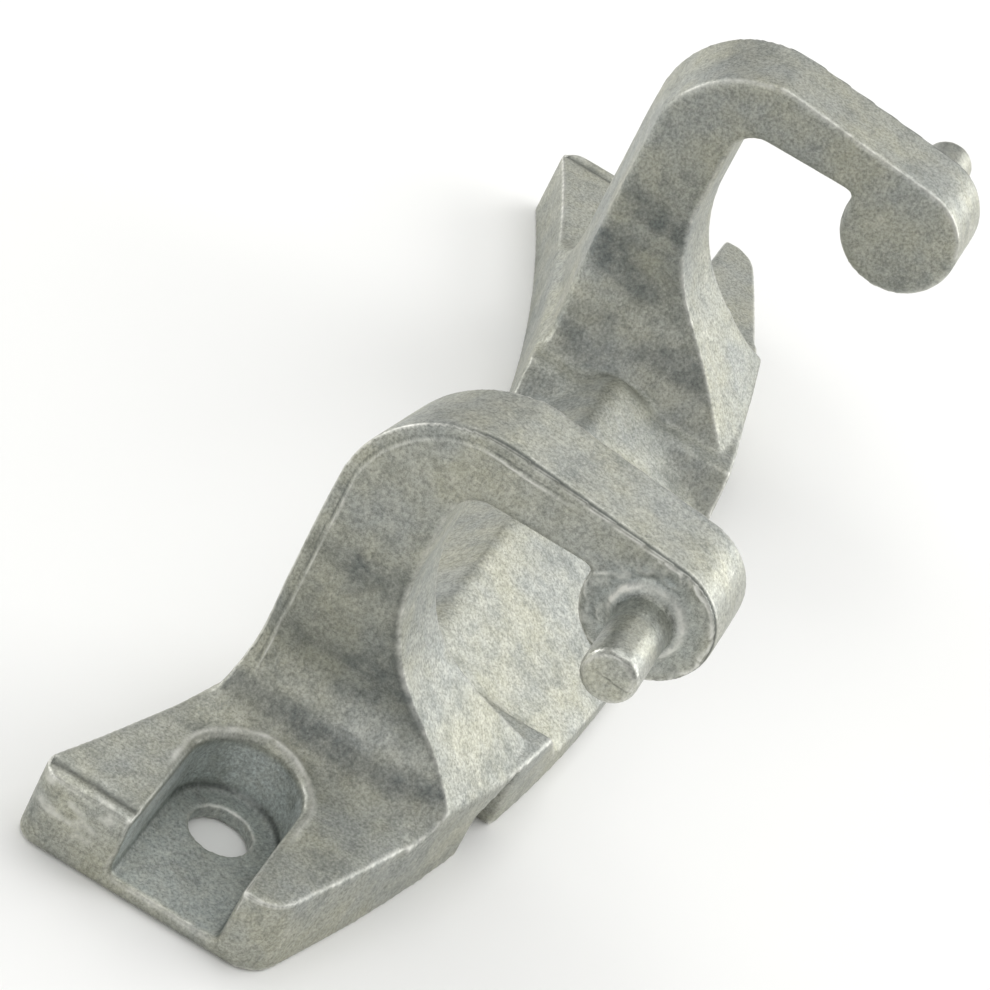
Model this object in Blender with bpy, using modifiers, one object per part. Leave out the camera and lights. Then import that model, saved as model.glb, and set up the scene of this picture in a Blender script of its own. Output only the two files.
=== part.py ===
"""One-piece die-cast hinge bracket: a curved base bar with two gooseneck arms.

Frame: +X runs along the pin axis, +Y is the side the arms hook towards, +Z points
away from the mounting surface. The origin is on the flat back, midway between the
two screw holes. The casting is symmetric about the YZ plane.
"""

import math

import bpy
import bmesh
from mathutils import Euler, Matrix

MM = 0.001

# Base bar: a band between two arcs that share one centre on the -Y side.
BAR_END_X = 71.9 * MM
ARC_CENTRE_Y = -179.5 * MM
ARC_OUTER_RADIUS = 202.8 * MM
ARC_INNER_RADIUS = 178.1 * MM
FOOT_HEIGHT = 8.2 * MM
OUTER_CORNER_RADIUS = 4.2 * MM
INNER_CORNER_RADIUS = 2.4 * MM

# Middle section between the arms: a roof with one ridge along X.
RIDGE_Y = 5.5 * MM
RIDGE_Z = 11.1 * MM
ROOF_OUTER_Z = 2.6 * MM
ROOF_INNER_Z = 4.2 * MM
FOOT_TOP_INNER_X = 28.6 * MM
FOOT_TOE_INNER_X = 22.0 * MM

# Arms.
ARM_OUTER_X = 47.1 * MM
ARM_INNER_X = 37.3 * MM
BOSS_Y = 23.85 * MM
BOSS_Z = 38.4 * MM
BOSS_RADIUS = 6.5 * MM
TOP_SLOPE = math.radians(6.0)
HUMP_RADIUS = 12.35 * MM
HUMP_Y = 5.65 * MM
HUMP_Z = 34.35 * MM
UNDERSIDE_Z = 40.2 * MM
THROAT_Y = 3.95 * MM
THROAT_RADIUS = 3.1 * MM
GUSSET_START_Z = 29.1 * MM
GUSSET_RADIUS = 16.9 * MM
GUSSET_TURN = math.radians(49.5)
LEG_INSET = 0.9 * MM
BACK_LEAN = 0.20
FILLET_RADIUS = 7.4 * MM
FLARE_RADIUS = 12.0 * MM
FLARE_START = 12.0 * MM
FLARE_SLOPE = math.radians(50.0)

# Integral pivot pins.
PIN_RADIUS = 2.75 * MM
PIN_TIP_X = 57.9 * MM
PIN_CHAMFER = 0.45 * MM
PIN_COLLAR_RADIUS = 3.9 * MM
PIN_COLLAR_LENGTH = 0.6 * MM

# Screw recess and hole in each foot.
HOLE_X = 58.3 * MM
HOLE_RADIUS = 3.1 * MM
RECESS_RADIUS = 6.1 * MM
RECESS_FLOOR_RADIUS = 5.7 * MM
RECESS_FLOOR_Z = 1.6 * MM

# Notch in the outer wall where the foot meets the middle section.
NOTCH_NEAR_X = 41.3 * MM
NOTCH_FAR_X = 34.9 * MM
NOTCH_NEAR_TOP = 5.0 * MM
NOTCH_FAR_TOP = 7.9 * MM
NOTCH_BACK_Y = 15.5 * MM

# Draft on the outer wall of each foot, growing from nothing at the arm.
WALL_DRAFT = 0.085
DRAFT_START_X = 42.0 * MM
DRAFT_FULL_X = 70.0 * MM

CASTING_NAME = "hinge_casting"


def clear_scene():
    for item in list(bpy.data.objects):
        bpy.data.objects.remove(item, do_unlink=True)


def new_collection(name):
    group = bpy.data.collections.new(name)
    bpy.context.scene.collection.children.link(group)
    return group


def arc(centre, radius, start, end, steps):
    """Points on a circle from one angle to another, in radians."""
    points = []
    for i in range(steps + 1):
        angle = start + (end - start) * i / steps
        points.append((centre[0] + radius * math.cos(angle), centre[1] + radius * math.sin(angle)))
    return points


def band_y(radius, x):
    """Y of a bar edge at a given X."""
    return ARC_CENTRE_Y + math.sqrt(radius * radius - x * x)


def extruded(name, outline, axis, start, end):
    """A closed 2D outline swept along X, Y or Z from start to end, as a mesh object."""
    curve = bpy.data.curves.new(name, "CURVE")
    curve.dimensions = "2D"
    curve.fill_mode = "BOTH"
    curve.extrude = (end - start) / 2
    spline = curve.splines.new("POLY")
    spline.points.add(len(outline) - 1)
    for point, (a, b) in zip(spline.points, outline):
        point.co = (a, b, 0, 1)
    spline.use_cyclic_u = True
    holder = bpy.data.objects.new(name + "_outline", curve)
    parts.objects.link(holder)
    middle = (start + end) / 2
    if axis == "X":
        turn = Euler((math.pi / 2, 0, math.pi / 2)).to_matrix().to_4x4()
        holder.matrix_world = Matrix.Translation((middle, 0, 0)) @ turn
    elif axis == "Y":
        turn = Euler((math.pi / 2, 0, 0)).to_matrix().to_4x4()
        holder.matrix_world = Matrix.Translation((0, middle, 0)) @ turn
    else:
        holder.matrix_world = Matrix.Translation((0, 0, middle))
    bpy.context.view_layer.update()
    graph = bpy.context.evaluated_depsgraph_get()
    mesh = bpy.data.meshes.new_from_object(holder.evaluated_get(graph))
    mesh.transform(holder.matrix_world)
    work = bmesh.new()
    work.from_mesh(mesh)
    bmesh.ops.remove_doubles(work, verts=work.verts, dist=1e-7)
    bmesh.ops.recalc_face_normals(work, faces=work.faces)
    work.to_mesh(mesh)
    work.free()
    bpy.data.objects.remove(holder, do_unlink=True)
    solid = bpy.data.objects.new(name, mesh)
    parts.objects.link(solid)
    return solid


def cone(name, place, radius_start, radius_end, length, along_x, segments):
    """A capped cone or cylinder that starts at place and runs along +X or +Z."""
    mesh = bpy.data.meshes.new(name)
    work = bmesh.new()
    bmesh.ops.create_cone(
        work,
        cap_ends=True,
        segments=segments,
        radius1=radius_start,
        radius2=radius_end,
        depth=length,
        matrix=Matrix.Translation((0, 0, length / 2)),
    )
    work.to_mesh(mesh)
    work.free()
    if along_x:
        mesh.transform(Euler((0, math.pi / 2, 0)).to_matrix().to_4x4())
    mesh.transform(Matrix.Translation(place))
    solid = bpy.data.objects.new(name, mesh)
    parts.objects.link(solid)
    return solid


def combine(body, tool, operation):
    """Apply one exact Boolean to the body, and hide the tool among the cutters."""
    step = body.modifiers.new(tool.name, "BOOLEAN")
    step.operation = operation
    step.solver = "EXACT"
    step.object = tool
    bpy.context.view_layer.update()
    graph = bpy.context.evaluated_depsgraph_get()
    result = bpy.data.meshes.new_from_object(body.evaluated_get(graph))
    body.modifiers.clear()
    body.data = result
    parts.objects.unlink(tool)
    cutters.objects.link(tool)
    tool.hide_render = True
    tool.display_type = "WIRE"


def rounded_corner(first, corner, last, radius, steps):
    """Replace a corner of an outline with an arc that touches both of its sides."""
    ax, ay = first[0] - corner[0], first[1] - corner[1]
    bx, by = last[0] - corner[0], last[1] - corner[1]
    a_length = math.hypot(ax, ay)
    b_length = math.hypot(bx, by)
    ax, ay, bx, by = ax / a_length, ay / a_length, bx / b_length, by / b_length
    half = math.acos(max(-1, min(1, ax * bx + ay * by))) / 2
    reach = radius / math.tan(half)
    mx, my = ax + bx, ay + by
    m_length = math.hypot(mx, my)
    centre = (
        corner[0] + mx / m_length * radius / math.sin(half),
        corner[1] + my / m_length * radius / math.sin(half),
    )
    start = math.atan2(corner[1] + ay * reach - centre[1], corner[0] + ax * reach - centre[0])
    end = math.atan2(corner[1] + by * reach - centre[1], corner[0] + bx * reach - centre[0])
    while end - start > math.pi:
        end -= 2 * math.pi
    while end - start < -math.pi:
        end += 2 * math.pi
    return arc(centre, radius, start, end, steps)


def band_outline(first_x, last_x):
    """Plan outline of the bar between two X stations, with the far corners rounded."""
    steps = 14
    outer = []
    inner = []
    for i in range(steps + 1):
        x = first_x + (last_x - first_x) * i / steps
        outer.append((x, band_y(ARC_OUTER_RADIUS, x)))
        inner.append((x, band_y(ARC_INNER_RADIUS, x)))
    outer_corner = rounded_corner(outer[-2], outer[-1], inner[-1], OUTER_CORNER_RADIUS, 6)
    inner_corner = rounded_corner(outer[-1], inner[-1], inner[-2], INNER_CORNER_RADIUS, 5)
    return outer[:-2] + outer_corner + inner_corner + inner[:-1][::-1]


def arm_outline():
    """Side outline of a gooseneck arm, in Y and Z."""
    boss = (BOSS_Y, BOSS_Z)
    hump = (HUMP_Y, HUMP_Z)
    top = math.pi / 2 - TOP_SLOPE
    drop = UNDERSIDE_Z - BOSS_Z
    notch = math.pi - math.asin(drop / BOSS_RADIUS)
    points = arc(boss, BOSS_RADIUS, notch - 2 * math.pi, top, 22)
    points += arc(hump, HUMP_RADIUS, top, math.pi, 12)
    left = HUMP_Y - HUMP_RADIUS
    points.append((left - 0.3 * MM, 21.0 * MM))
    points.append((left - 14.0 * MM, 18.0 * MM))
    points.append((left - 14.0 * MM, 2.0 * MM))
    gusset = (THROAT_Y + GUSSET_RADIUS, GUSSET_START_Z)
    curve = arc(gusset, GUSSET_RADIUS, math.pi + GUSSET_TURN, math.pi, 10)
    slope = math.tan(math.pi / 2 - GUSSET_TURN)
    foot_y = curve[0][0] + (curve[0][1] - 5.0 * MM) / slope
    points.append((foot_y, 2.0 * MM))
    points.append((foot_y, 5.0 * MM))
    points += curve
    throat = (THROAT_Y + THROAT_RADIUS, UNDERSIDE_Z - THROAT_RADIUS)
    points += arc(throat, THROAT_RADIUS, math.pi, math.pi / 2, 5)
    return points


def lean_back(vertex):
    """Draft on the hump and the leg's back: they lie further in on the arm's inner face."""
    rise_y = vertex.co.y - HUMP_Y
    rise_z = vertex.co.z - HUMP_Z
    on_hump = abs(math.hypot(rise_y, rise_z) - HUMP_RADIUS) < 0.02 * MM and rise_z > -0.1 * MM
    on_leg = rise_z < 0 and abs(rise_y + HUMP_RADIUS) < 1 * MM
    if not (on_hump or on_leg) or rise_y > 0:
        return
    shift = BACK_LEAN * (ARM_OUTER_X - vertex.co.x)
    angle = math.atan2(rise_z, rise_y) if rise_z > 0 else math.pi
    top = math.pi / 2 - TOP_SLOPE
    shift *= math.sin((angle - top) / (math.pi - top) * math.pi / 2)
    vertex.co.y -= shift * math.cos(angle)
    vertex.co.z -= shift * math.sin(angle)


def arm_front_outline():
    """Front outline of an arm, in X and Z: a fillet at its outer root, and a flare at its inner root."""
    foot = FOOT_HEIGHT
    radius = FILLET_RADIUS
    outer = arc((ARM_OUTER_X + radius, foot + radius), radius, math.pi, 1.5 * math.pi, 7)
    flare = (ARM_INNER_X - FLARE_RADIUS, foot + FLARE_START)
    inner = arc(flare, FLARE_RADIUS, FLARE_SLOPE - math.pi / 2, 0, 7)
    fall = (inner[0][1] - 3.0 * MM) / math.tan(FLARE_SLOPE)
    points = [(ARM_INNER_X, 60 * MM), (ARM_OUTER_X, 60 * MM)]
    points += outer
    points.append((outer[-1][0], 3.0 * MM))
    points.append((inner[0][0] - fall, 3.0 * MM))
    points += inner
    return points


def foot_side_outline():
    """Front outline of a foot: flat top, and a slope down to the middle section."""
    return [
        (BAR_END_X + 2 * MM, 0),
        (BAR_END_X + 2 * MM, FOOT_HEIGHT),
        (FOOT_TOP_INNER_X, FOOT_HEIGHT),
        (FOOT_TOE_INNER_X, 1.5 * MM),
        (FOOT_TOE_INNER_X, 0),
    ]


def middle_outline():
    """Cross-section of the middle section, in Y and Z."""
    outer_y = band_y(ARC_OUTER_RADIUS, 0)
    inner_y = band_y(ARC_INNER_RADIUS, 0)
    return [
        (inner_y - 9 * MM, 0),
        (outer_y + 1 * MM, 0),
        (outer_y + 1 * MM, ROOF_OUTER_Z - 0.5 * MM),
        (RIDGE_Y, RIDGE_Z),
        (inner_y, ROOF_INNER_Z),
        (inner_y - 9 * MM, ROOF_INNER_Z),
    ]


def leg_outline():
    """Plan outline that gives the arm its curved back, set in a little from the bar's edge."""
    points = [(65 * MM, 70 * MM), (20 * MM, 70 * MM)]
    for i in range(15):
        x = 20 * MM + 45 * MM * i / 14
        points.append((x, band_y(ARC_INNER_RADIUS + LEG_INSET, x)))
    return points


def beyond_outline():
    """Plan outline of the space outside the bar's outer wall."""
    points = [(65 * MM, 70 * MM), (20 * MM, 70 * MM)]
    for i in range(15):
        x = 20 * MM + 45 * MM * i / 14
        points.append((x, band_y(ARC_OUTER_RADIUS, x)))
    return points


def recess_outline(radius):
    """Plan outline of a screw recess: round towards the middle, open at the bar's end."""
    points = arc((HOLE_X, 0), radius, math.pi / 2, 1.5 * math.pi, 20)
    points.append((BAR_END_X + 3 * MM, -radius))
    points.append((BAR_END_X + 3 * MM, radius))
    return points


clear_scene()
parts = new_collection("hinge_bracket")
cutters = new_collection("cutters")

# The bar for +X, starting a little past the mirror plane.
casting = extruded(CASTING_NAME, middle_outline(), "X", -2 * MM, 31 * MM)
foot = extruded("foot_block", foot_side_outline(), "Y", -60 * MM, 60 * MM)
combine(casting, foot, "UNION")
plan = extruded("bar_plan", band_outline(-3 * MM, BAR_END_X), "Z", -1 * MM, 30 * MM)
for vertex in plan.data.vertices:
    share = max(0, min(1, (vertex.co.x - DRAFT_START_X) / (DRAFT_FULL_X - DRAFT_START_X)))
    if vertex.co.y > 0 and vertex.co.z > 0:
        vertex.co.y -= WALL_DRAFT * vertex.co.z * share * share * (3 - 2 * share)
combine(casting, plan, "INTERSECT")

# The arm, its root fillets and its curved back.
arm = extruded("arm_profile", arm_outline(), "X", 25 * MM, 60 * MM)
front = extruded("arm_front", arm_front_outline(), "Y", -60 * MM, 60 * MM)
combine(arm, front, "INTERSECT")
for vertex in arm.data.vertices:
    lean_back(vertex)
leg_plan = extruded("leg_plan", leg_outline(), "Z", -1 * MM, 60 * MM)
combine(arm, leg_plan, "INTERSECT")
beyond = extruded("beyond_outer_wall", beyond_outline(), "Z", -2 * MM, 15 * MM)
combine(arm, beyond, "DIFFERENCE")
combine(casting, arm, "UNION")

# The pivot pin on the outer face of the boss, with the collar at its root.
collar = cone(
    "pin_collar",
    (ARM_OUTER_X - 1 * MM, BOSS_Y, BOSS_Z),
    PIN_COLLAR_RADIUS,
    PIN_COLLAR_RADIUS,
    1 * MM + PIN_COLLAR_LENGTH,
    True,
    32,
)
combine(casting, collar, "UNION")
shank_length = PIN_TIP_X - PIN_CHAMFER - ARM_OUTER_X + 1 * MM
shank = cone("pin_shank", (ARM_OUTER_X - 1 * MM, BOSS_Y, BOSS_Z), PIN_RADIUS, PIN_RADIUS, shank_length, True, 32)
tip = cone(
    "pin_tip",
    (PIN_TIP_X - PIN_CHAMFER, BOSS_Y, BOSS_Z),
    PIN_RADIUS,
    PIN_RADIUS - PIN_CHAMFER,
    PIN_CHAMFER,
    True,
    32,
)
combine(shank, tip, "UNION")
combine(casting, shank, "UNION")

# The screw recess with drafted walls, the hole, and the notch.
recess = extruded("recess", recess_outline(RECESS_RADIUS), "Z", RECESS_FLOOR_Z, 40 * MM)
for vertex in recess.data.vertices:
    if vertex.co.z < RECESS_FLOOR_Z + 1 * MM:
        shrink = RECESS_FLOOR_RADIUS / RECESS_RADIUS
        vertex.co.y *= shrink
        if vertex.co.x < HOLE_X:
            vertex.co.x = HOLE_X + (vertex.co.x - HOLE_X) * shrink
combine(casting, recess, "DIFFERENCE")
hole = cone("screw_hole", (HOLE_X, 0, -1 * MM), HOLE_RADIUS, HOLE_RADIUS, 6 * MM, False, 32)
combine(casting, hole, "DIFFERENCE")
notch_outline = [
    (NOTCH_FAR_X, -1 * MM),
    (NOTCH_NEAR_X, -1 * MM),
    (NOTCH_NEAR_X, NOTCH_NEAR_TOP),
    (NOTCH_FAR_X, NOTCH_FAR_TOP),
]
notch = extruded("wall_notch", notch_outline, "Y", NOTCH_BACK_Y, 40 * MM)
combine(casting, notch, "DIFFERENCE")

# The other half is a mirror image.
mirror = casting.modifiers.new("other_half", "MIRROR")
mirror.use_axis = (True, False, False)
mirror.use_bisect_axis = (True, False, False)
mirror.use_bisect_flip_axis = (False, False, False)
mirror.use_clip = True
mirror.merge_threshold = 0.00001

casting.data.set_sharp_from_angle(angle=math.radians(30))
metal = bpy.data.materials.new("cast_zinc")
metal.use_nodes = True
surface = metal.node_tree.nodes["Principled BSDF"]
surface.inputs["Base Color"].default_value = (0.33, 0.34, 0.33, 1)
surface.inputs["Metallic"].default_value = 0.9
surface.inputs["Roughness"].default_value = 0.45
casting.data.materials.clear()
casting.data.materials.append(metal)
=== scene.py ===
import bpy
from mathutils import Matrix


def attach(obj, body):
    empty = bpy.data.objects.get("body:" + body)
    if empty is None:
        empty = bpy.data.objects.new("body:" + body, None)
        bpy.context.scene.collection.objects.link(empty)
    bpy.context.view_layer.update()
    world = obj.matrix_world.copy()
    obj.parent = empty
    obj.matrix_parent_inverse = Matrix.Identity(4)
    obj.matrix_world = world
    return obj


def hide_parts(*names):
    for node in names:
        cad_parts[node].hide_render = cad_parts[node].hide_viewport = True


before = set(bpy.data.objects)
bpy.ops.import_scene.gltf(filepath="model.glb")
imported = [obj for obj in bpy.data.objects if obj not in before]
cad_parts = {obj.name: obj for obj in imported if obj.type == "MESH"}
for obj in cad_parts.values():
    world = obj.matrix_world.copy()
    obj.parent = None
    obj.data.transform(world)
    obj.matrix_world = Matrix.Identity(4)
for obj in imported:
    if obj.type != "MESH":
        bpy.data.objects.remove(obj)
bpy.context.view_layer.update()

import math

import bmesh
import bpy
import numpy as np
from mathutils import Matrix, Vector, noise

# ---------------------------------------------------------------------------
# The base bar of the hinge, which is one bare zinc die casting held by two screws.
# The bar is a curved band with a flat back, a low roofed middle and a thicker foot
# at each end. Half of it is built, in millimetres, and mirrored further down.
# ---------------------------------------------------------------------------
BAR_END_X = 71.9
ARC_CENTRE_Y = -179.5
ARC_OUTER_RADIUS = 202.8
ARC_INNER_RADIUS = 178.1
FOOT_HEIGHT = 8.2
OUTER_CORNER_RADIUS = 4.2
INNER_CORNER_RADIUS = 2.4
RIDGE_Y, RIDGE_Z = 5.5, 11.1
ROOF_OUTER_Z = 2.6
ROOF_INNER_Z = 4.2
FOOT_TOP_INNER_X = 28.6
FOOT_TOE_INNER_X = 22.0
WALL_DRAFT, DRAFT_START_X, DRAFT_FULL_X = 0.085, 42.0, 70.0
HALF_OVERLAP = 3.0  # how far the half runs past the middle before it is mirrored
CLEAR = 60.0  # reach of a tool that has to pass right through the casting


def arc(centre, radius, start, end, steps):
    """Points on a circle from one angle to another."""
    angles = [start + (end - start) * i / steps for i in range(steps + 1)]
    return [(centre[0] + radius * math.cos(a), centre[1] + radius * math.sin(a)) for a in angles]


def bar_edge_y(radius, x):
    """Y of a curved edge of the bar at a given X."""
    return ARC_CENTRE_Y + math.sqrt(radius * radius - x * x)


def finished_tool(name, work):
    """Make an object of a closed shape, and put it in the scene."""
    bmesh.ops.recalc_face_normals(work, faces=work.faces)
    mesh = bpy.data.meshes.new(name)
    work.to_mesh(mesh)
    work.free()
    solid = bpy.data.objects.new(name, mesh)
    bpy.context.scene.collection.objects.link(solid)
    return solid


def prism(name, outline, axis, start, end):
    """A closed outline swept along X, Y or Z, in millimetres."""
    work = bmesh.new()
    rings = []
    for level in (start, end):
        ring = []
        for a, b in outline:
            place = {"X": (level, a, b), "Y": (a, level, b), "Z": (a, b, level)}[axis]
            ring.append(work.verts.new(place))
        rings.append(ring)
    work.faces.new(rings[0])
    work.faces.new(rings[1][::-1])
    for i in range(len(outline)):
        j = (i + 1) % len(outline)
        work.faces.new((rings[0][j], rings[0][i], rings[1][i], rings[1][j]))
    return finished_tool(name, work)


def applied(body):
    """Turn the body's modifiers into its mesh."""
    bpy.context.view_layer.update()
    graph = bpy.context.evaluated_depsgraph_get()
    mesh = bpy.data.meshes.new_from_object(body.evaluated_get(graph))
    body.modifiers.clear()
    body.data = mesh


def combine(body, tool, operation):
    """Join, cut or intersect the body with a tool, which is then thrown away."""
    step = body.modifiers.new(tool.name, "BOOLEAN")
    step.operation = operation
    step.solver = "EXACT"
    step.object = tool
    applied(body)
    bpy.data.objects.remove(tool, do_unlink=True)


def rounded_corner(first, corner, last, radius, steps):
    """Replace a corner of an outline with an arc that touches both of its sides."""
    a = Vector(first) - Vector(corner)
    b = Vector(last) - Vector(corner)
    a.normalize()
    b.normalize()
    half = a.angle(b) / 2
    reach = radius / math.tan(half)
    centre = Vector(corner) + (a + b).normalized() * radius / math.sin(half)
    start_arm = Vector(corner) + a * reach - centre
    end_arm = Vector(corner) + b * reach - centre
    start = math.atan2(start_arm.y, start_arm.x)
    turn = math.atan2(end_arm.y, end_arm.x) - start
    turn = (turn + math.pi) % (2 * math.pi) - math.pi
    return arc(centre, radius, start, start + turn, steps)


def bar_plan():
    """The bar seen from above, with its far corners rounded and its outer wall drafted."""
    steps = 40
    xs = [-HALF_OVERLAP + (BAR_END_X + HALF_OVERLAP) * i / steps for i in range(steps + 1)]
    outer = [(x, bar_edge_y(ARC_OUTER_RADIUS, x)) for x in xs]
    inner = [(x, bar_edge_y(ARC_INNER_RADIUS, x)) for x in xs]
    outer_corner = rounded_corner(outer[-3], outer[-1], inner[-1], OUTER_CORNER_RADIUS, steps=12)
    inner_corner = rounded_corner(outer[-1], inner[-1], inner[-3], INNER_CORNER_RADIUS, steps=8)
    outline = outer[:-3] + outer_corner + inner_corner + inner[:-2][::-1]
    plan = prism("bar_plan", outline, "Z", -1, 30)
    for vertex in plan.data.vertices:
        share = (vertex.co.x - DRAFT_START_X) / (DRAFT_FULL_X - DRAFT_START_X)
        share = max(0, min(1, share))
        if vertex.co.y > 0 and vertex.co.z > 0:
            vertex.co.y -= WALL_DRAFT * vertex.co.z * share * share * (3 - 2 * share)
    return plan


outer_y = bar_edge_y(ARC_OUTER_RADIUS, 0)
inner_y = bar_edge_y(ARC_INNER_RADIUS, 0)
roof = [
    (inner_y - 9, 0),
    (outer_y + 1, 0),
    (outer_y + 1, ROOF_OUTER_Z - 0.5),
    (RIDGE_Y, RIDGE_Z),
    (inner_y, ROOF_INNER_Z),
    (inner_y - 9, ROOF_INNER_Z),
]
foot_side = [
    (BAR_END_X + 2, 0),
    (BAR_END_X + 2, FOOT_HEIGHT),
    (FOOT_TOP_INNER_X, FOOT_HEIGHT),
    (FOOT_TOE_INNER_X, 1.5),
    (FOOT_TOE_INNER_X, 0),
]
casting = prism("hinge_casting_cast_skin", roof, "X", -2, 31)
combine(casting, prism("foot_block", foot_side, "Y", -CLEAR, CLEAR), "UNION")
combine(casting, bar_plan(), "INTERSECT")

# ---------------------------------------------------------------------------
# The gooseneck arms, cast in one with the bar. Each rises from a root that is
# filleted outside and flared inside, bends over a hump and runs out to a round
# boss, with an open throat under it and a gusset down to the outer wall.
# ---------------------------------------------------------------------------
ARM_OUTER_X = 47.1
ARM_INNER_X = 37.3
BOSS_Y, BOSS_Z, BOSS_RADIUS = 23.85, 38.4, 6.5
TOP_SLOPE = math.radians(6.0)
HUMP_Y, HUMP_Z, HUMP_RADIUS = 5.65, 34.35, 12.35
UNDERSIDE_Z = 40.2
THROAT_Y, THROAT_RADIUS = 3.95, 3.1
GUSSET_START_Z, GUSSET_RADIUS, GUSSET_TURN = 29.1, 16.9, math.radians(49.5)
UNDERSIDE_FILLET, FILLET_TURN = 1.1, 0.17  # reach along the flat, and turn round the boss
FILLETED_POINTS = 3  # points of the boss that the fillet takes the place of
LEG_INSET = 0.9
BACK_LEAN = 0.20
FILLET_RADIUS = 7.4
FLARE_RADIUS, FLARE_START, FLARE_SLOPE = 12.0, 12.0, 50.0
ROOT_Z = 3.0  # the arms reach down to here, well inside the bar


def arm_side():
    """The gooseneck seen from the side, in Y and Z."""
    top = math.pi / 2 - TOP_SLOPE
    notch = math.pi - math.asin((UNDERSIDE_Z - BOSS_Z) / BOSS_RADIUS)
    boss = arc((BOSS_Y, BOSS_Z), BOSS_RADIUS, notch - 2 * math.pi, top, steps=60)
    hump = arc((HUMP_Y, HUMP_Z), HUMP_RADIUS, top, math.pi, steps=36)
    left = HUMP_Y - HUMP_RADIUS
    back = [(left - 0.3, 21.0), (left - 14.0, 18.0), (left - 14.0, 2.0)]
    gusset = (THROAT_Y + GUSSET_RADIUS, GUSSET_START_Z)
    curve = arc(gusset, GUSSET_RADIUS, math.pi + GUSSET_TURN, math.pi, steps=24)
    slope = math.tan(math.pi / 2 - GUSSET_TURN)
    foot_y = curve[0][0] + (curve[0][1] - 5.0) / slope
    throat = (THROAT_Y + THROAT_RADIUS, UNDERSIDE_Z - THROAT_RADIUS)
    bend = arc(throat, THROAT_RADIUS, math.pi, math.pi / 2, steps=10)
    # A small fillet where the flat underside runs into the boss.
    turn = notch + FILLET_TURN
    meet = (BOSS_Y + BOSS_RADIUS * math.cos(notch), UNDERSIDE_Z)
    around = (BOSS_Y + BOSS_RADIUS * math.cos(turn), BOSS_Z + BOSS_RADIUS * math.sin(turn))
    before = (meet[0] - UNDERSIDE_FILLET, UNDERSIDE_Z)
    fillet = [before]
    for share in (0.25, 0.5, 0.75):
        a, b, c = (1 - share) ** 2, 2 * share * (1 - share), share**2
        fillet.append(tuple(a * p + b * q + c * r for p, q, r in zip(before, meet, around)))
    fillet.append(around)
    front = [(foot_y, 2.0), (foot_y, 5.0)] + curve + bend
    return boss[FILLETED_POINTS:] + hump + back + front + fillet


def lean_back(vertex):
    """Draft on the hump and on the leg's back: they lie further in on the inner face."""
    rise_y = vertex.co.y - HUMP_Y
    rise_z = vertex.co.z - HUMP_Z
    on_hump = abs(math.hypot(rise_y, rise_z) - HUMP_RADIUS) < 0.02 and rise_z > -0.1
    on_leg = rise_z < 0 and abs(rise_y + HUMP_RADIUS) < 1
    if not (on_hump or on_leg) or rise_y > 0:
        return
    angle = math.atan2(rise_z, rise_y) if rise_z > 0 else math.pi
    top = math.pi / 2 - TOP_SLOPE
    part = math.sin((angle - top) / (math.pi - top) * math.pi / 2)
    shift = BACK_LEAN * (ARM_OUTER_X - vertex.co.x) * part
    vertex.co.y -= shift * math.cos(angle)
    vertex.co.z -= shift * math.sin(angle)


def arm_front():
    """An arm seen from the front, in X and Z: a fillet outside its root, a flare inside."""
    level = FOOT_HEIGHT + FILLET_RADIUS
    outer = arc((ARM_OUTER_X + FILLET_RADIUS, level), FILLET_RADIUS, math.pi, 1.5 * math.pi, steps=20)
    flare = (ARM_INNER_X - FLARE_RADIUS, FOOT_HEIGHT + FLARE_START)
    inner = arc(flare, FLARE_RADIUS, -math.radians(90 - FLARE_SLOPE), 0, steps=20)
    fall = (inner[0][1] - ROOT_Z) / math.tan(math.radians(FLARE_SLOPE))
    inner = [(inner[0][0] - fall, ROOT_Z)] + inner
    top = [(ARM_INNER_X, CLEAR), (ARM_OUTER_X, CLEAR)]
    return top + outer + [(outer[-1][0], ROOT_Z)] + inner


def beside_edge(radius):
    """Everything on the +Y side of one of the bar's edges, seen from above."""
    xs = [20 + 45 * i / 30 for i in range(31)]
    return [(65, 70), (20, 70)] + [(x, bar_edge_y(radius, x)) for x in xs]


arm = prism("gooseneck", arm_side(), "X", 25, CLEAR)
combine(arm, prism("arm_front", arm_front(), "Y", -CLEAR, CLEAR), "INTERSECT")
for vertex in arm.data.vertices:
    lean_back(vertex)
leg_back = prism("leg_back", beside_edge(ARC_INNER_RADIUS + LEG_INSET), "Z", -1, CLEAR)
combine(arm, leg_back, "INTERSECT")
combine(arm, prism("outside_wall", beside_edge(ARC_OUTER_RADIUS), "Z", -2, 15), "DIFFERENCE")
combine(casting, arm, "UNION")

# ---------------------------------------------------------------------------
# The pivot pins, cast with the bosses, which the door turns on. Each stands in a
# shallow hollow with a raised lip round it, and the edge of its tip is broken.
# ---------------------------------------------------------------------------
PIN_RADIUS = 2.75
PIN_TIP_X = 57.9
PIN_CHAMFER = 0.45
LIP_RADIUS, LIP_HEIGHT = 3.55, 0.6
PIN_SEGMENTS = 72


def turned(name, profile):
    """A solid of revolution about the pin's axis, from (x, radius) stations."""
    work = bmesh.new()
    rings = []
    for x, radius in profile:
        ring = []
        for i in range(PIN_SEGMENTS):
            a = 2 * math.pi * i / PIN_SEGMENTS
            y = BOSS_Y + radius * math.cos(a)
            ring.append(work.verts.new((x, y, BOSS_Z + radius * math.sin(a))))
        rings.append(ring)
    for near, far in zip(rings, rings[1:]):
        for i in range(PIN_SEGMENTS):
            j = (i + 1) % PIN_SEGMENTS
            work.faces.new((near[i], near[j], far[j], far[i]))
    work.faces.new(rings[0])
    work.faces.new(rings[-1][::-1])
    return finished_tool(name, work)


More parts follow.
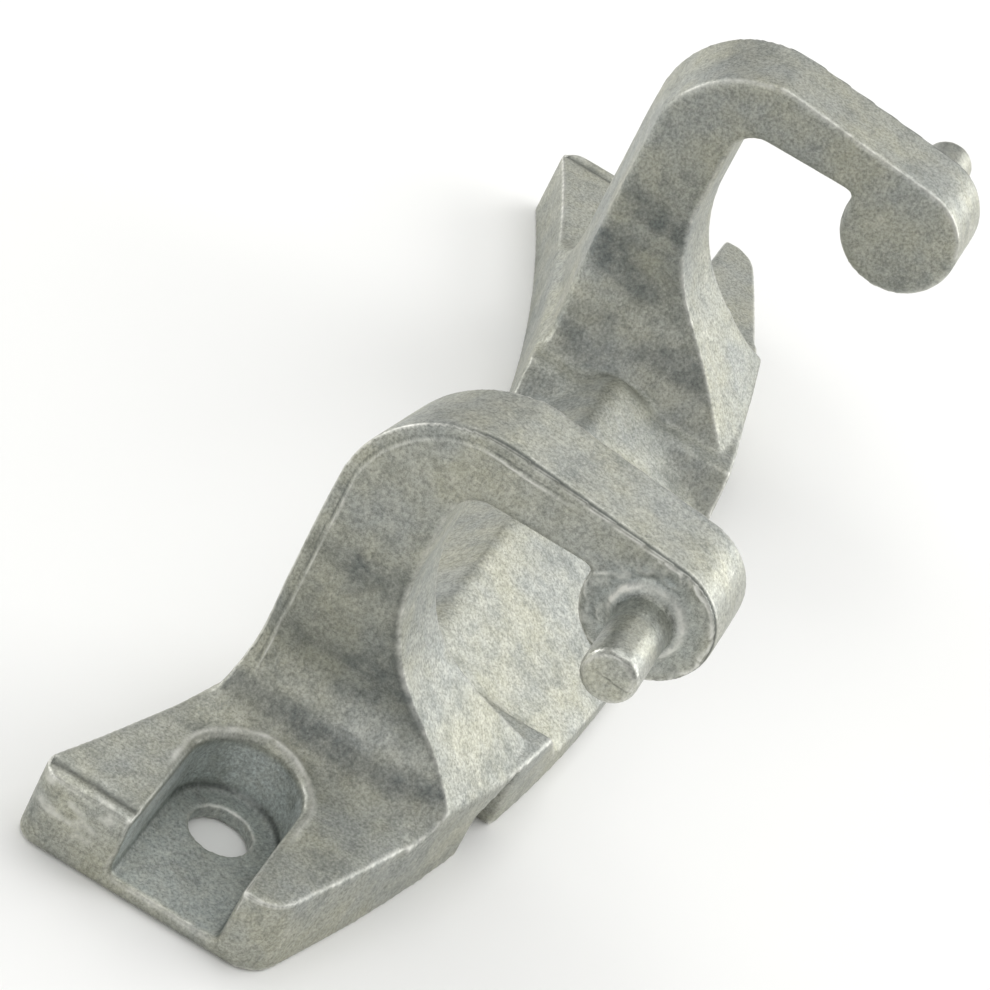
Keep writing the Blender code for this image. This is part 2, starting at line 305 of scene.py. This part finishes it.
pin_profile = [
    (ARM_OUTER_X - 2, LIP_RADIUS + 0.40),
    (ARM_OUTER_X + 0.05, LIP_RADIUS + 0.35),
    (ARM_OUTER_X + 0.45, LIP_RADIUS + 0.15),
    (ARM_OUTER_X + LIP_HEIGHT, LIP_RADIUS - 0.08),
    (ARM_OUTER_X + 0.48, LIP_RADIUS - 0.32),
    (ARM_OUTER_X + 0.40, PIN_RADIUS + 0.25),
    (ARM_OUTER_X + 0.75, PIN_RADIUS + 0.10),
    (ARM_OUTER_X + 1.5, PIN_RADIUS),
    (PIN_TIP_X - PIN_CHAMFER, PIN_RADIUS),
    (PIN_TIP_X, PIN_RADIUS - PIN_CHAMFER),
]
combine(casting, turned("pin", pin_profile), "UNION")

# ---------------------------------------------------------------------------
# The screw recesses and the wall notches, cast in with the bar. A recess is open at
# the bar's end, with drafted walls and a thin floor that the screw's head sits on. A
# notch breaks the outer wall where the foot meets the middle.
# ---------------------------------------------------------------------------
HOLE_X, HOLE_RADIUS = 58.3, 3.1
RECESS_RADIUS, RECESS_FLOOR_RADIUS, RECESS_FLOOR_Z = 6.1, 5.7, 1.6
NOTCH_NEAR_X, NOTCH_FAR_X, NOTCH_BACK_Y = 41.3, 34.9, 15.5
NOTCH_NEAR_TOP, NOTCH_FAR_TOP = 5.0, 7.9

recess_plan = arc((HOLE_X, 0), RECESS_RADIUS, math.pi / 2, 1.5 * math.pi, steps=48)
recess_plan += [(BAR_END_X + 3, -RECESS_RADIUS), (BAR_END_X + 3, RECESS_RADIUS)]
recess = prism("recess", recess_plan, "Z", RECESS_FLOOR_Z, 40)
shrink = RECESS_FLOOR_RADIUS / RECESS_RADIUS
for vertex in recess.data.vertices:
    if vertex.co.z < RECESS_FLOOR_Z + 1:
        vertex.co.y *= shrink
        if vertex.co.x < HOLE_X:
            vertex.co.x = HOLE_X + (vertex.co.x - HOLE_X) * shrink
combine(casting, recess, "DIFFERENCE")

hole_plan = arc((HOLE_X, 0), HOLE_RADIUS, 0, 2 * math.pi * 63 / 64, steps=63)
combine(casting, prism("screw_hole", hole_plan, "Z", -1, 5), "DIFFERENCE")

wall_notch = [
    (NOTCH_FAR_X, -1),
    (NOTCH_NEAR_X, -1),
    (NOTCH_NEAR_X, NOTCH_NEAR_TOP),
    (NOTCH_FAR_X, NOTCH_FAR_TOP),
]
combine(casting, prism("wall_notch", wall_notch, "Y", NOTCH_BACK_Y, 40), "DIFFERENCE")

# ---------------------------------------------------------------------------
# The cast skin. Metal that fills a mould has no sharp corners, so the whole casting
# is mirrored, wrapped in one even skin and eased: a little everywhere, and more
# along the middle's ridge, at the inner roots and round the recess.
# ---------------------------------------------------------------------------
SKIN_STEP = 0.31  # grid of the skin, in millimetres

mirror = casting.modifiers.new("other_half", "MIRROR")
mirror.use_bisect_axis = (True, False, False)
mirror.use_clip = True
mirror.merge_threshold = 0.01
skin = casting.modifiers.new("cast_skin", "REMESH")
skin.mode = "VOXEL"
skin.voxel_size = SKIN_STEP
applied(casting)


def smoothstep(low, high, value):
    """A soft step from 0 at low to 1 at high. For a place the limits are in millimetres."""
    share = np.clip((value - low) / (high - low), 0, 1)
    return share * share * (3 - 2 * share)


def read_skin(mesh):
    """Points, edges and normals of a mesh as arrays."""
    points = np.empty(len(mesh.vertices) * 3)
    mesh.vertices.foreach_get("co", points)
    pairs = np.empty(len(mesh.edges) * 2, int)
    mesh.edges.foreach_get("vertices", pairs)
    normals = np.empty(len(mesh.vertices) * 3)
    mesh.vertex_normals.foreach_get("vector", normals)
    return points.reshape(-1, 3), pairs.reshape(-1, 2), normals.reshape(-1, 3)


def neighbour_mean(values, pairs):
    """Mean of each point's neighbours, for one value or three."""
    both = np.concatenate([pairs, pairs[:, ::-1]])
    count = np.bincount(both[:, 0], minlength=len(values))
    if values.ndim == 1:
        return np.bincount(both[:, 0], values[both[:, 1]], len(values)) / count
    columns = [np.bincount(both[:, 0], values[both[:, 1], k], len(values)) / count for k in range(3)]
    return np.stack(columns, 1)


def relax(points, pairs, share, rounds):
    """Ease each point towards the mean of its neighbours, as far as its share says."""
    for _ in range(rounds):
        points = points + share[:, None] * 0.5 * (neighbour_mean(points, pairs) - points)
    return points


def past_recess(x, y):
    """Distance outwards from the recess's wall, seen from above."""
    return np.where(x > HOLE_X, np.abs(y), np.hypot(x - HOLE_X, y)) - RECESS_RADIUS


points, pairs, normals = read_skin(casting.data)
x, y, z = np.abs(points[:, 0]), points[:, 1], points[:, 2]
inner_wall = ARC_CENTRE_Y + np.sqrt(ARC_INNER_RADIUS**2 - x**2)
outer_wall = ARC_CENTRE_Y + np.sqrt(ARC_OUTER_RADIUS**2 - x**2)

# Every corner of the mould is broken a little, but the pins and holes keep their size.
on_pin = (np.hypot(y - BOSS_Y, z - BOSS_Z) < 3.4) & (x > ARM_OUTER_X + 0.9)
in_hole = np.hypot(x - HOLE_X, y) < HOLE_RADIUS + 0.8
points = relax(points, pairs, np.where(on_pin | in_hole, 0.4, 1.0), rounds=4)

# The ridge of the middle and the roots of the arms flow into each other.
clear_of_walls = smoothstep(0.5, 2.2, y - inner_wall) * smoothstep(1.0, 3.0, outer_wall - y)
clear_of_walls *= smoothstep(1.0, 3.0, z)
ridge_blend = clear_of_walls * smoothstep(37.0, 33.0, x)
ridge_blend *= smoothstep(4.5, 2.0, np.abs(y - RIDGE_Y))
root_blend = clear_of_walls * smoothstep(38.0, 33.0, x) * smoothstep(16.0, 22.0, x)
root_blend *= smoothstep(22.0, 11.0, z)
root_blend *= np.maximum(smoothstep(12.0, 6.0, y), 0.3 * smoothstep(31.0, 27.0, x))
points = relax(points, pairs, ridge_blend, rounds=20)
points = relax(points, pairs, root_blend, rounds=60)

# The recess has a broken rim, and the foot's end rolls over on the inner side.
rim_blend = smoothstep(1.3, 0.5, np.abs(past_recess(x, y))) * smoothstep(6.4, 7.2, z) * (x > 50)
end_blend = smoothstep(69.8, 70.8, x) * smoothstep(5.0, 6.2, z) * smoothstep(-5.6, -6.6, y)
points = relax(points, pairs, np.maximum(0.25 * rim_blend, end_blend), rounds=12)

# The ledge between an arm's back and the bar's inner wall is washed out.
ledge = smoothstep(4.0, 1.0, np.abs(y - inner_wall - 0.5))
ledge *= smoothstep(4.0, 9.0, z) * smoothstep(22.0, 15.0, z)
ledge *= smoothstep(23.0, 35.0, x) * smoothstep(60.0, 52.0, x)
points = relax(points, pairs, ledge, rounds=18)
casting.data.vertices.foreach_set("co", points.ravel())
casting.data.update()

# ---------------------------------------------------------------------------
# The marks of the mould: the step and joint line where its halves met, the lip and
# flow marks round the pin, the lines over boss and pin end, the crest round the
# recess and the groove across the foot. All are shallow relief, under half a mm.
# ---------------------------------------------------------------------------
STEP_INSET, STEP_DEPTH = 1.35, 0.12
JOINT_X, JOINT_WIDTH, JOINT_DEPTH = 46.7, 0.24, 0.09
LIP_WIDTH, LIP_RELIEF = 0.45, 0.30
FLOW_RELIEF = 0.055
LINE_WIDTH, LINE_DEPTH = 0.14, 0.06
GROOVE_X, GROOVE_WIDTH, GROOVE_DEPTH = 69.8, 0.62, 0.27
CREST_OFFSET, CREST_WIDTH, CREST_RELIEF = 0.40, 0.30, 0.13
SWELL_RELIEF, RAGGED_RELIEF = 0.035, 0.012


def bell(value, width):
    """A soft bump, 1 where the value is 0."""
    return np.exp(-((value / width) ** 2))


def cloudiness(points, per_mm, offset=0.0):
    """Smooth noise at each point, with so many turns per millimetre along X, Y and Z."""
    a, b, c = per_mm
    return np.array([noise.noise(Vector((p[0] * a, p[1] * b + offset, p[2] * c))) for p in points])


def top_inset(y, z):
    """Distance into the outer face from the arm's top and back, for one place."""
    if z <= HUMP_Z:
        return min(y - (HUMP_Y - HUMP_RADIUS), 9)
    if y < HUMP_Y:
        return HUMP_RADIUS - math.hypot(y - HUMP_Y, z - HUMP_Z)
    return HUMP_RADIUS - ((y - HUMP_Y) * math.sin(TOP_SLOPE) + (z - HUMP_Z) * math.cos(TOP_SLOPE))


# Finer skin where the marks lie.
work = bmesh.new()
work.from_mesh(casting.data)
fine = []
for face in work.faces:
    centre = face.calc_center_median()
    out_x = abs(centre.x)
    inset = top_inset(centre.y, centre.z)
    from_axis = math.hypot(centre.y - BOSS_Y, centre.z - BOSS_Z)
    side_face = out_x > 45.8 and abs(face.normal.x) > 0.6 and centre.z > 9
    on_rim = side_face and inset < 2.2 and centre.y < BOSS_Y
    on_boss = out_x > 46.3 and from_axis < BOSS_RADIUS + 0.3
    at_edge = 45.4 < out_x < 47.3 and centre.z > 28 and inset < 1.0 and centre.y < BOSS_Y + 4
    at_end = out_x > 68.8 and centre.z > 5.5
    if on_rim or on_boss or at_edge or at_end:
        fine.append(face)
edges = list({edge for face in fine for edge in face.edges})
bmesh.ops.subdivide_edges(work, edges=edges, cuts=1, use_grid_fill=True)
work.to_mesh(casting.data)
work.free()

points, pairs, normals = read_skin(casting.data)
side = np.where(points[:, 0] < 0, -1.0, 1.0)
x, y, z = np.abs(points[:, 0]), points[:, 1], points[:, 2]
outward = normals[:, 0] * side
facing_out = smoothstep(0.55, 0.85, outward)
from_axis = np.hypot(y - BOSS_Y, z - BOSS_Z)
round_hump = HUMP_RADIUS - np.hypot(y - HUMP_Y, z - HUMP_Z)
flat_top = HUMP_RADIUS - (y - HUMP_Y) * math.sin(TOP_SLOPE) - (z - HUMP_Z) * math.cos(TOP_SLOPE)
above = np.where(y < HUMP_Y, round_hump, flat_top)
inset = np.where(z < HUMP_Z, y - (HUMP_Y - HUMP_RADIUS), above)
on_arm = (x > 46.0) & (x < 47.4 + np.maximum(0, 16.0 - z)) & (z > 9.5)

# The step round the outer face of each arm fades out at the boss.
ramble = cloudiness(points, (0.35, 0.35, 0.35))
contour = STEP_INSET + 0.15 * ramble - 0.6 * smoothstep(9.0, 17.0, y)
fade = smoothstep(17.0, 11.0, y) * smoothstep(9.5, 14.0, z)
rim = smoothstep(contour + 0.22, contour - 0.22, inset) * facing_out * on_arm
depth = -STEP_DEPTH * rim * fade
ridge = bell(inset - contour - 0.25, width=0.2) * facing_out * on_arm
depth += (0.045 + 0.05 * ramble) * ridge * fade

# The joint line runs along the top's outer edge.
from_top = np.where(y > BOSS_Y, BOSS_RADIUS - from_axis, inset)
on_top = smoothstep(1.0, 0.4, from_top) * (z > HUMP_Z - 8) * (x < 47.4)
joint_line = bell(x - JOINT_X, JOINT_WIDTH) * on_top * smoothstep(0.98, 0.8, outward)
joint_line *= smoothstep(-3.0, 5.0, y)
depth -= JOINT_DEPTH * joint_line

# The lip round the pin is uneven, and the metal's last flow left rings on the boss.
angle = np.arctan2(z - BOSS_Z, y - BOSS_Y)
wander = cloudiness(points, (0.02, 0.45, 0.45))
on_face = facing_out * (x > 46.4) * (x < 49.0) * (from_axis < BOSS_RADIUS - 0.2)
on_lip = bell(from_axis - LIP_RADIUS, LIP_WIDTH) * (x > 46.4) * (x < 49.0)
depth += LIP_RELIEF * on_lip * (wander + 0.15 - 0.3 * smoothstep(-0.6, -1.4, angle))
flow = np.sin(from_axis * 2.4 + 9.0 * wander) * on_face * smoothstep(4.0, 4.6, from_axis)
depth += FLOW_RELIEF * flow

# The joint line crosses the boss beside the pin, and then the pin's end.
across_boss = z - BOSS_Z + 0.3 + 0.12 * (y - BOSS_Y) - 0.25 * wander
depth -= LINE_DEPTH * bell(across_boss, LINE_WIDTH) * on_face * (y > BOSS_Y + 4.6)
pin_end = smoothstep(0.7, 0.95, outward) * (x > PIN_TIP_X - 0.4)
across_pin = z - BOSS_Z + 0.05 * (y - BOSS_Y) - 0.25 * wander
score = bell(across_pin, LINE_WIDTH) * smoothstep(-1.6, -0.8, y - BOSS_Y)
depth += pin_end * (0.03 * smoothstep(-0.3, 0.3, across_pin) - LINE_DEPTH * score + 0.03 * wander)

# A groove crosses the end of each foot on the inner side.
on_foot_top = smoothstep(0.4, 0.8, normals[:, 2]) * (z > 7.0) * (x > 66)
groove = bell(x - GROOVE_X - 0.35 * ramble, GROOVE_WIDTH) * smoothstep(-5.6, -6.4, y) * on_foot_top
depth -= (GROOVE_DEPTH + 0.20 * ramble) * groove

# A thin crest is raised round the recess's closed end.
from_recess = past_recess(x, y)
crest = bell(from_recess - CREST_OFFSET, CREST_WIDTH) * smoothstep(7.0, 7.6, z)
crest *= smoothstep(64.0, 60.0, x) * (x > 50)
depth += CREST_RELIEF * crest

# The skin of a casting is never quite flat, and its corners are a little ragged.
depth += SWELL_RELIEF * cloudiness(points, (0.16, 0.16, 0.16))
depth += RAGGED_RELIEF * cloudiness(points, (1.3, 1.3, 1.3))
depth *= smoothstep(0.0, 0.8, z)
points = points + normals * depth[:, None]
points[:, 2] = np.maximum(points[:, 2], 0)
casting.data.vertices.foreach_set("co", points.ravel())
casting.data.update()

# ---------------------------------------------------------------------------
# Where the skin differs from place to place, kept as layers for its finish: rubbed
# edges with painted highlights, painted shade in the corners and creases, colder and bluer metal in the
# recess and round the pin, a recess wall painted lighter against its shade, dark painted reflection bands
# across the legs, and the smoother pin and boss tip.
# ---------------------------------------------------------------------------
MM = 0.001  # the skin is shaped in millimetres and ends in metres

points, pairs, normals = read_skin(casting.data)
outward = normals[:, 0] * side

# How far each point stands out of, or lies below, its surroundings.
ends = pairs.ravel()
spread = np.linalg.norm(points[pairs[:, 0]] - points[pairs[:, 1]], axis=1)
spread = np.bincount(ends, np.repeat(spread, 2), len(points)) / np.bincount(ends, minlength=len(points))
standing = np.einsum("ij,ij->i", points - neighbour_mean(points, pairs), normals) / spread**2
for _ in range(2):
    standing = 0.5 * standing + 0.5 * neighbour_mean(standing, pairs)

# A pale torn patch marks each end face, where the runner of metal was broken off.
torn = cloudiness(points, (0.6, 0.45, 0.7))
scar = smoothstep(70.4, 71.2, x) * smoothstep(-6.6, -8.0, y) * smoothstep(2.5, 4.5, z)
scar *= smoothstep(0.0, 0.3, torn)

inner_wall = ARC_CENTRE_Y + np.sqrt(ARC_INNER_RADIUS**2 - x**2)
# Painted highlights with some rubbed wear: outstanding edges, the crest round the recess, the pin's lip and
# the boss's flow ridges are painted brighter where a highlight falls on them, and the end faces' torn patch
# is pale metal.
wear_and_highlight = smoothstep(0.14, 0.7, standing) * (1 - 0.8 * joint_line)
wear_and_highlight *= 1 - 0.8 * smoothstep(41.0, 38.0, x) * smoothstep(2.0, 1.0, y - inner_wall)
lip_highlight = 1.1 * on_lip**2 * smoothstep(0.2, 0.7, outward) * (0.8 + 1.4 * wander)
flow_highlight = 0.5 * smoothstep(0.3, 1.0, flow) * (0.5 + wander)
for wear in (0.6 * scar, crest * (0.9 + 0.5 * ramble), lip_highlight, flow_highlight):
    wear_and_highlight = np.maximum(wear_and_highlight, wear)

# Painted shade: darker in hollows and creases and in a line beside each gusset, and darker along the joint
# line and the foot's groove.
crease_shade_and_joint_line = smoothstep(0.10, 0.55, -standing) * (1 - 0.75 * on_face)
crease_shade_and_joint_line = np.maximum(crease_shade_and_joint_line, np.maximum(joint_line, 0.7 * groove))
into_leg = np.hypot(y - THROAT_Y - GUSSET_RADIUS, z - GUSSET_START_Z) - GUSSET_RADIUS
gusset_edge_shade = bell(into_leg - 0.55, width=0.40) * facing_out * (z < GUSSET_START_Z) * (y < 16)
gusset_edge_shade *= smoothstep(8.5, 11.0, z)
crease_shade_and_joint_line = np.maximum(crease_shade_and_joint_line, np.clip(0.5 + 0.6 * ramble, 0, 1) * gusset_edge_shade)

in_recess = smoothstep(0.25, -0.1, from_recess) * smoothstep(7.8, 6.8, z) * smoothstep(71.6, 70.9, x)
# Painted light: the recess's walls are painted paler, to offset the shade that falls on them.
recess_wall_fill_light = in_recess * smoothstep(1.8, 3.0, z)
chilled = np.maximum(in_recess, on_face * smoothstep(6.4, 4.4, from_axis) * (0.7 + 0.7 * wander))
pin_root = 0.8 * (x > 47.0) * (x < 51.0) * (from_axis < 5) * (0.6 + wander)
chilled = np.clip(np.maximum(chilled, pin_root), 0, 1)

# Painted reflection: dark bands and streaks across the foot of each leg stand in for the dark reflections in
# its curved root.
drift = cloudiness(points, (0.05, 0.10, 0.04))
patchy = cloudiness(points, (0.08, 0.11, 0.20), offset=7)
streak = cloudiness(points, (0.15, 0.09, 0.55), offset=3)
dark_reflection_band = 0
for height, width, strength in ((19.0, 2.3, 0.85), (26.5, 2.0, 0.75), (11.0, 1.4, 0.80)):
    dark_reflection_band += strength * bell(z + 3.0 * drift - height, width)
dark_reflection_band = dark_reflection_band * (0.75 + 1.1 * patchy) + 0.7 * streak * smoothstep(31.0, 24.0, z)
dark_reflection_band *= smoothstep(0.15, 0.6, np.abs(outward))
dark_reflection_band *= smoothstep(32.0, 26.0, z) * smoothstep(8.0, 9.5, z)
dark_reflection_band *= np.where(side < 0, 1.25, 1.0)
dark_reflection_band = np.clip(dark_reflection_band * smoothstep(57.0, 52.0, x) * smoothstep(26.0, 33.0, x), 0, 1)

bearing = (from_axis < 3.3) & (x > 48.2)
tip_wall = smoothstep(2.0, 5.0, y - BOSS_Y) * smoothstep(0.5, 0.2, np.abs(outward)) * (z > 28)
worn_smooth = np.maximum(np.where(bearing, 1.0, 0.0), 0.8 * tip_wall)

points *= MM
casting.data.vertices.foreach_set("co", points.ravel())
layers = {
    "wear_and_highlight": wear_and_highlight,
    "crease_shade_and_joint_line": crease_shade_and_joint_line,
    "chilled": chilled,
    "recess_wall_fill_light": recess_wall_fill_light,
    "dark_reflection_band": dark_reflection_band,
    "worn_smooth": worn_smooth,
}
for label, values in layers.items():
    layer = casting.data.attributes.new(label, "FLOAT", "POINT")
    layer.data.foreach_set("value", values.astype(np.float32))
casting.data.update()
casting.data.shade_smooth()

# ---------------------------------------------------------------------------
# Zinc alloy, as die cast: a matt-satin grey skin, clouded warm and blue-grey by
# the oxide, with a grain of about a third of a millimetre, rubbed edges with painted
# highlights and painted shade in the corners.
# ---------------------------------------------------------------------------
ZINC_WARM = "#aaaa9c"
ZINC_BLUE = "#9ea19c"
ZINC_PALE = "#bcbcb2"
# Pale colour of the painted edge highlights and rubbed wear.
ZINC_RUBBED_HIGHLIGHT = "#dadad3"
ZINC_CHILLED = "#aab0ae"
# Paler colour painted on the recess walls as light.
ZINC_WALL_FILL_LIGHT = "#d0d6d4"
ZINC_STAIN = "#808480"
# Dark colour of the painted reflection bands.
ZINC_REFLECTION_SHADE = "#666c6c"
# Dark colour of the painted crease shade.
ZINC_CREASE_SHADE = "#4b4f4c"
# Size in millimetres, detail and roughness of each pattern, from clouds to grain.
PATTERNS = {
    "cloud": (9.0, 3.0, 0.6),
    "stain": (5.0, 6.0, 0.65),
    "vein": (4.0, 3.0, 0.6),
    "blotch": (1.7, 5.0, 0.7),
    "grain": (0.34, 4.0, 0.75),
}
VEIN_BEND = 1.2
ZINC_METALLIC = 0.92
ROUGH_DULL, ROUGH_BRIGHT, SMOOTHED_BY = 0.60, 0.46, 0.17
BUMP_STRENGTH, BUMP_HEIGHT = 0.5, 0.00012


def linear(code):
    """An sRGB hex colour as linear RGBA."""
    channels = [int(code[i:i + 2], 16) / 255 for i in (1, 3, 5)]
    return [c / 12.92 if c <= 0.04045 else ((c + 0.055) / 1.055) ** 2.4 for c in channels] + [1]


def add_node(tree, kind, inputs=None, **settings):
    """Add one node, with its settings, and with a value or a link for each input named."""
    made = tree.nodes.new(kind)
    for name, value in settings.items():
        setattr(made, name, value)
    for name, value in (inputs or {}).items():
        if isinstance(value, bpy.types.NodeSocket):
            tree.links.new(value, made.inputs[name])
        else:
            made.inputs[name].default_value = value
    return made


zinc = bpy.data.materials.new("zinc_alloy_as_die_cast")
zinc.use_nodes = True
tree = zinc.node_tree
tree.nodes.clear()
place = add_node(tree, "ShaderNodeTexCoord").outputs["Object"]
place = add_node(tree, "ShaderNodeVectorMath", {0: place, "Scale": 1 / MM}, operation="SCALE").outputs[0]
pattern = {}
for label, (size_mm, detail, rough) in PATTERNS.items():
    settings = {"Vector": place, "Scale": 1 / size_mm, "Detail": detail, "Roughness": rough}
    if label == "vein":
        settings["Distortion"] = VEIN_BEND
    pattern[label] = add_node(tree, "ShaderNodeTexNoise", settings).outputs[0]

# A vein is the thin line where its pattern crosses the middle value.
vein_side = add_node(tree, "ShaderNodeMath", {0: pattern["vein"], 1: 0.5}, operation="SUBTRACT").outputs[0]
vein_width = add_node(tree, "ShaderNodeMath", {0: vein_side}, operation="ABSOLUTE").outputs[0]

# From value, to value, from share, to share of each pattern that is turned into a share.
share = {}
for label, value, low, high, least, most in (
    ("cloud", pattern["cloud"], 0.38, 0.62, 0.0, 1.0),
    ("stain", pattern["stain"], 0.50, 0.66, 0.0, 0.55),
    ("blotch", pattern["blotch"], 0.42, 0.72, 0.0, 0.45),
    ("vein", vein_width, 0.0, 0.012, 0.35, 0.0),
    ("speck", pattern["grain"], 0.30, 0.70, 0.60, 1.40),
    ("wear_and_highlight_break", pattern["blotch"], 0.35, 0.55, 0.35, 1.0),
    ("roughness", pattern["blotch"], 0.3, 0.7, ROUGH_DULL, ROUGH_BRIGHT),
):
    limits = {"From Min": low, "From Max": high, "To Min": least, "To Max": most}
    share[label] = add_node(tree, "ShaderNodeMapRange", {"Value": value, **limits}).outputs[0]
# The painted highlights, painted crease shade, painted reflection bands and painted wall light are read from
# the skin's layers.
strengths = {"chilled": 0.8, "dark_reflection_band": 0.75, "crease_shade_and_joint_line": 0.85, "wear_and_highlight": share["wear_and_highlight_break"]}
for label, strength in strengths.items():
    layer = add_node(tree, "ShaderNodeAttribute", attribute_name=label).outputs["Fac"]
    share[label] = add_node(tree, "ShaderNodeMath", {0: layer, 1: strength}, operation="MULTIPLY").outputs[0]
share["recess_wall_fill_light"] = add_node(tree, "ShaderNodeAttribute", attribute_name="recess_wall_fill_light").outputs["Fac"]

# The colours lie over each other in this order, and the grain goes between stains and the painted crease
# shade.
tint = linear(ZINC_WARM)
for label, shade in (
    ("cloud", ZINC_BLUE),
    ("chilled", ZINC_CHILLED),
    ("recess_wall_fill_light", ZINC_WALL_FILL_LIGHT),
    ("stain", ZINC_STAIN),
    ("dark_reflection_band", ZINC_REFLECTION_SHADE),
    ("blotch", ZINC_PALE),
    ("vein", ZINC_STAIN),
    ("speck", None),
    ("crease_shade_and_joint_line", ZINC_CREASE_SHADE),
    ("wear_and_highlight", ZINC_RUBBED_HIGHLIGHT),
):
    if shade is None:
        grained = {0: tint, "Scale": share[label]}
        tint = add_node(tree, "ShaderNodeVectorMath", grained, operation="SCALE").outputs[0]
    else:
        blend = {0: share[label], 6: tint, 7: linear(shade)}
        tint = add_node(tree, "ShaderNodeMix", blend, data_type="RGBA").outputs[2]

smooth_layer = add_node(tree, "ShaderNodeAttribute", attribute_name="worn_smooth").outputs["Fac"]
smoothed = {0: smooth_layer, 1: -SMOOTHED_BY, 2: share["roughness"]}
roughness = add_node(tree, "ShaderNodeMath", smoothed, operation="MULTIPLY_ADD").outputs[0]
relief = {0: pattern["grain"], 1: 0.35, 2: pattern["blotch"]}
height = add_node(tree, "ShaderNodeMath", relief, operation="MULTIPLY_ADD").outputs[0]
raised = {"Height": height, "Strength": BUMP_STRENGTH, "Distance": BUMP_HEIGHT}
bump = add_node(tree, "ShaderNodeBump", raised).outputs[0]
surface = {"Base Color": tint, "Metallic": ZINC_METALLIC, "Roughness": roughness, "Normal": bump}
metal = add_node(tree, "ShaderNodeBsdfPrincipled", surface).outputs[0]
add_node(tree, "ShaderNodeOutputMaterial", {"Surface": metal})

casting.data.materials.clear()
casting.data.materials.append(zinc)
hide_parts("hinge_casting")
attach(casting, "root")

# ---------------------------------------------------------------------------
# Studio: a plain pale sweep of matt paper under the casting, one broad light
# behind it, soft fill from the left, above and in front, and a camera that looks
# down along the bar from the right-hand foot.
# ---------------------------------------------------------------------------
PAPER_WHITE, PAPER_ROUGHNESS, SWEEP_REACH, SWEEP_DROP = "#f4f4f2", 0.9, 6.0, 0.0001
ROOM_STRENGTH = 0.55

paper = bpy.data.materials.new("matt_white_paper")
paper.use_nodes = True
paper_surface = paper.node_tree.nodes["Principled BSDF"].inputs
paper_surface["Base Color"].default_value = linear(PAPER_WHITE)
paper_surface["Roughness"].default_value = PAPER_ROUGHNESS
work = bmesh.new()
bmesh.ops.create_grid(work, x_segments=1, y_segments=1, size=SWEEP_REACH)
sweep = bpy.data.meshes.new("floor")
work.to_mesh(sweep)
work.free()
floor = bpy.data.objects.new("floor", sweep)
floor.location.z = -SWEEP_DROP
bpy.context.scene.collection.objects.link(floor)
floor.data.materials.append(paper)

for label, spot, size, power in (
    ("window_behind", (-0.75, 0.85, 0.50), (1.1, 0.8), 6.9),
    ("window_left", (-0.2, -1.2, 0.35), (0.9, 0.5), 5.0),
    ("ceiling", (-0.38, 0.05, 1.20), (1.2, 1.2), 6.9),
    ("front_fill", (0.95, -0.25, 0.40), (0.8, 0.6), 1.6),
):
    lamp = bpy.data.lights.new(label, "AREA")
    lamp.shape = "RECTANGLE"
    lamp.size, lamp.size_y = size
    lamp.energy = power
    stand = bpy.data.objects.new(label, lamp)
    stand.location = spot
    stand.rotation_euler = (Vector((0, 0, 0.02)) - Vector(spot)).to_track_quat("-Z", "Y").to_euler()
    bpy.context.scene.collection.objects.link(stand)

room = bpy.data.worlds.new("studio")
room.use_nodes = True
room.node_tree.nodes["Background"].inputs["Color"].default_value = linear("#ffffff")
room.node_tree.nodes["Background"].inputs["Strength"].default_value = ROOM_STRENGTH
bpy.context.scene.world = room
bpy.context.scene.view_settings.view_transform = "Standard"

CAMERA_PLACE = (0.36889, 0.03570, 0.25979)
CAMERA_RIGHT = (-0.3414958, 0.85506308, 0.39018936)
CAMERA_DOWN = (0.44955097, 0.51317771, -0.73113102)
CAMERA_FORWARD = (-0.82539963, -0.07426817, -0.55964247)
LENS_MM, SENSOR_MM = 159.8425, 36
lens = bpy.data.cameras.new("camera")
lens.sensor_width = SENSOR_MM
lens.lens = LENS_MM
lens.clip_start = 0.01
viewer = bpy.data.objects.new("camera", lens)
columns = (CAMERA_RIGHT, [-v for v in CAMERA_DOWN], [-v for v in CAMERA_FORWARD], CAMERA_PLACE)
rows = [[column[row] for column in columns] for row in range(3)]
viewer.matrix_world = Matrix(rows + [[0, 0, 0, 1]])
bpy.context.scene.collection.objects.link(viewer)
bpy.context.scene.camera = viewer
